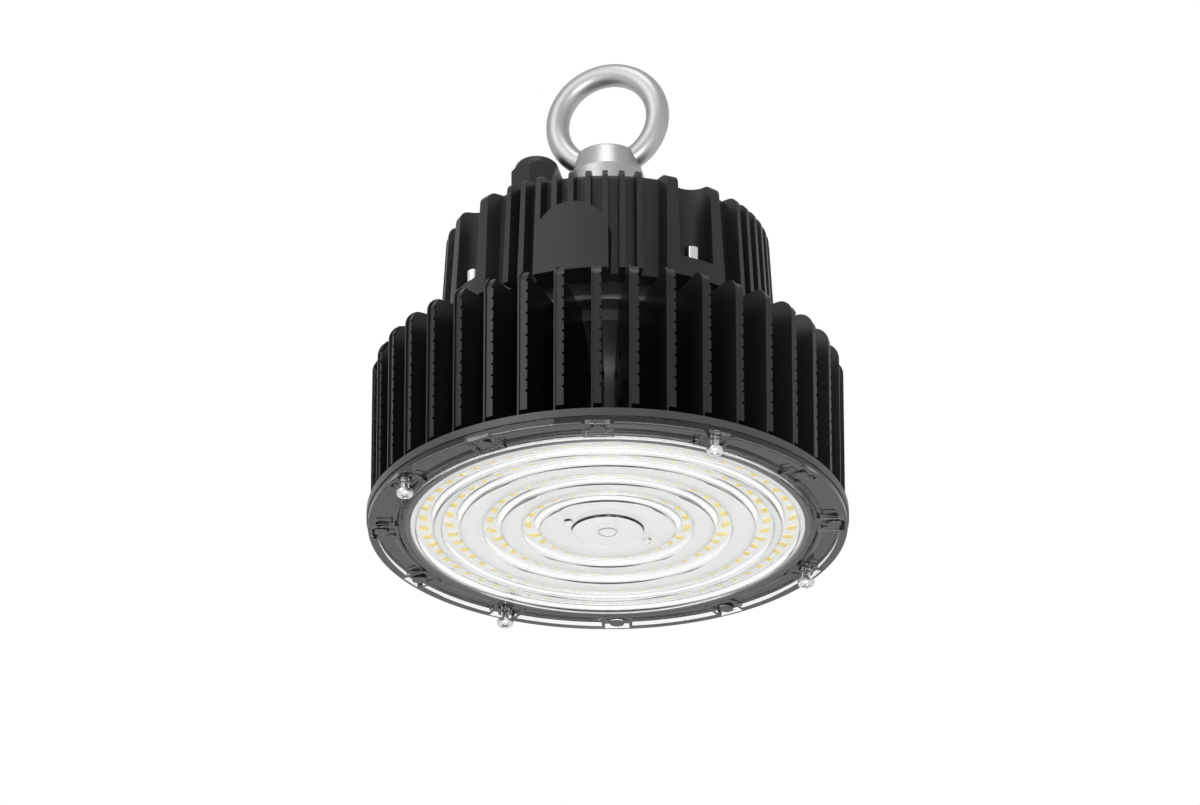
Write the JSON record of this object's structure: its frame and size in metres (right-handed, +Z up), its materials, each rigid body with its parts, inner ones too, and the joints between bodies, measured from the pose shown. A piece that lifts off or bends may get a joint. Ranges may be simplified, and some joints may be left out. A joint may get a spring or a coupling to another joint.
{
  "type": "high bay light",
  "caption": "Round high bay light with a finned heat sink, black driver housing, lifting eye, cable gland and clear ribbed lens.",
  "frame": {"origin": "on the axis, in the plane of the reflector screws' heads, the lowest plane of the light", "axes": "+Z up along the axis towards the lifting eye as it hangs, -Y towards the plain arched panel, gland on the -X side"},
  "size_m": [0.24, 0.24, 0.2689],
  "materials": {
    "zinc_steel": "satin",
    "black_casting": "satin",
    "black_plate": "satin",
    "black_core": "satin",
    "black_fin": "satin",
    "black_nylon": "satin",
    "black_rubber": "matte",
    "grey_silicone": "matte",
    "bright_screw": "polished",
    "clear_lens": "polished",
    "white_board": "satin",
    "yellow_phosphor": "matte",
    "green_circuit": "satin",
    "amber_tape": "satin",
    "black_sleeve": "gloss",
    "red_sheath": "satin"
  },
  "bodies": {
    "root": {"eye_bolt": "zinc_steel", "driver_housing": "black_casting", "driver_tray": "black_casting", "adapter_plate": "black_plate", "base_plate": "black_plate", "core": "black_core", "gland_body": "black_nylon", "gland_nut": "black_nylon", "gland_seal": "black_rubber", "housing_gasket": "black_rubber", "lens_gasket": "grey_silicone", "housing_screws": "bright_screw", "reflector_screws": "bright_screw", "lens": "clear_lens", "led_board": "white_board", "led_chips": "yellow_phosphor", "driver_board": "green_circuit", "driver_transformer": "amber_tape", "driver_capacitors": "black_sleeve", "led_leads": "red_sheath", "fin_01": "black_fin", "fin_02": "black_fin", "fin_03": "black_fin", "fin_04": "black_fin", "fin_05": "black_fin", "fin_06": "black_fin", "fin_07": "black_fin", "fin_08": "black_fin", "fin_09": "black_fin", "fin_10": "black_fin", "fin_11": "black_fin", "fin_12": "black_fin", "fin_13": "black_fin", "fin_14": "black_fin", "fin_15": "black_fin", "fin_16": "black_fin", "fin_17": "black_fin", "fin_18": "black_fin", "fin_19": "black_fin", "fin_20": "black_fin", "fin_21": "black_fin", "fin_22": "black_fin", "fin_23": "black_fin", "fin_24": "black_fin", "fin_25": "black_fin", "fin_26": "black_fin", "fin_27": "black_fin", "fin_28": "black_fin", "fin_29": "black_fin", "fin_30": "black_fin", "fin_31": "black_fin", "fin_32": "black_fin", "fin_33": "black_fin", "fin_34": "black_fin", "fin_35": "black_fin", "fin_36": "black_fin", "fin_37": "black_fin", "fin_38": "black_fin", "fin_39": "black_fin", "fin_40": "black_fin"}
  },
  "joints": []
}
